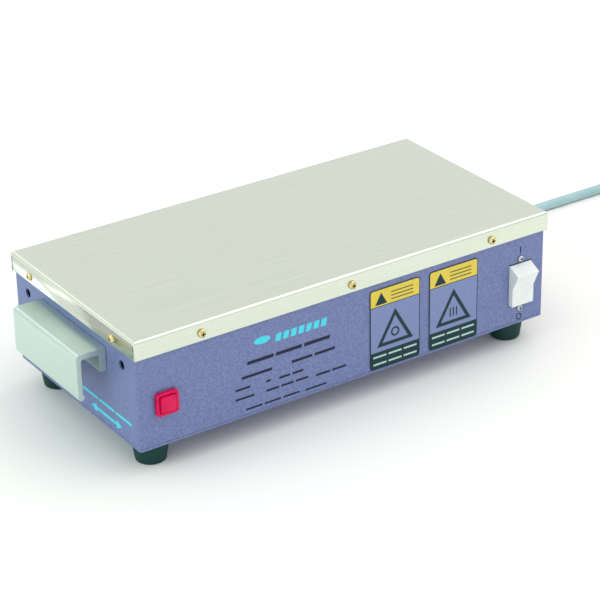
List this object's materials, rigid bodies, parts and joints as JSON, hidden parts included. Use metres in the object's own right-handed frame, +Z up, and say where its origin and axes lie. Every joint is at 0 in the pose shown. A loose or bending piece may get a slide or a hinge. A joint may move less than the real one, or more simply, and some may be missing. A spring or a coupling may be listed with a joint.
{
  "type": "plate demagnetizer",
  "caption": "Bench plate demagnetizer: low painted case with a stainless top, end handles, rubber feet, rocker switch, pilot lamp and power cord.",
  "frame": {"origin": "under the middle of the machine, on the surface that its feet stand on", "axes": "+X along the front from the lamp to the switch, +Y from the front to the back, +Z up"},
  "size_m": [0.7413, 0.2163, 0.119],
  "materials": {
    "stainless_sheet": "fine satin stainless sheet, 1.2 mm, folded",
    "case_paint": "blue-violet fine-texture enamel on steel",
    "handle_aluminium": "satin anodised extrusion",
    "yellow_zinc": "yellow-passivated zinc on steel screws",
    "bright_zinc": "bright zinc on steel",
    "foot_rubber": "moulded rubber, dark green-black",
    "white_plastic": "white moulded nylon, semi-gloss",
    "black_plastic": "black moulded thermoset",
    "red_lens": "translucent red polycarbonate",
    "label_film": "printed polyester label",
    "core_steel": "stacked silicon steel laminations",
    "winding": "enamelled copper winding under varnished tape",
    "former_plastic": "moulded coil former",
    "cord_sheath": "pale grey PVC sheath, satin",
    "grey_plastic": "grey moulded nylon or PVC",
    "pin_brass": "plated brass contact pins"
  },
  "bodies": {
    "machine": {"bottom_plate": "case_paint", "bracket_bolt_left_1": "bright_zinc", "bracket_bolt_left_2": "bright_zinc", "bracket_bolt_right_1": "bright_zinc", "bracket_bolt_right_2": "bright_zinc", "case_shell": "case_paint", "coil_back": "winding", "coil_former_back": "former_plastic", "coil_former_front": "former_plastic", "coil_front": "winding", "cord_coil": "cord_sheath", "core_bracket_left": "bright_zinc", "core_bracket_right": "bright_zinc", "core_stack": "core_steel", "cover_screw_back_1": "yellow_zinc", "cover_screw_back_2": "yellow_zinc", "cover_screw_back_3": "yellow_zinc", "cover_screw_front_1": "yellow_zinc", "cover_screw_front_2": "yellow_zinc", "cover_screw_front_3": "yellow_zinc", "cover_screw_left_1": "yellow_zinc", "cover_screw_left_2": "yellow_zinc", "cover_screw_right_1": "yellow_zinc", "cover_screw_right_2": "yellow_zinc", "earth_screw": "bright_zinc", "foot_back_left": "foot_rubber", "foot_back_right": "foot_rubber", "foot_front_left": "foot_rubber", "foot_front_right": "foot_rubber", "foot_screw_back_left": "bright_zinc", "foot_screw_back_right": "bright_zinc", "foot_screw_front_left": "bright_zinc", "foot_screw_front_right": "bright_zinc", "front_label_left": "label_film", "front_label_right": "label_film", "gland_body": "grey_plastic", "gland_locknut": "grey_plastic", "handle_left": "handle_aluminium", "handle_right": "handle_aluminium", "handle_screw_left_1": "bright_zinc", "handle_screw_left_2": "bright_zinc", "handle_screw_right_1": "bright_zinc", "handle_screw_right_2": "bright_zinc", "lamp_body": "black_plastic", "lamp_lens": "red_lens", "plug_blade_left": "pin_brass", "plug_blade_right": "pin_brass", "plug_body": "grey_plastic", "plug_earth_pin": "pin_brass", "power_cord": "cord_sheath", "strain_relief": "grey_plastic", "switch_housing": "black_plastic", "switch_screw_lower": "bright_zinc", "switch_screw_upper": "bright_zinc", "terminal_block": "black_plastic", "thermal_cutout": "black_plastic", "tie_rod_back": "bright_zinc", "tie_rod_front": "bright_zinc", "top_cover": "stainless_sheet"},
    "rocker": {"switch_rocker": "white_plastic"}
  },
  "joints": [
    {"name": "switch_rock", "type": "hinge", "parent": "machine", "child": "rocker", "pos_m": [0.1728, -0.08894, 0.0596], "axis": [-1, 0, 0], "range_deg": [0, 25]}
  ]
}
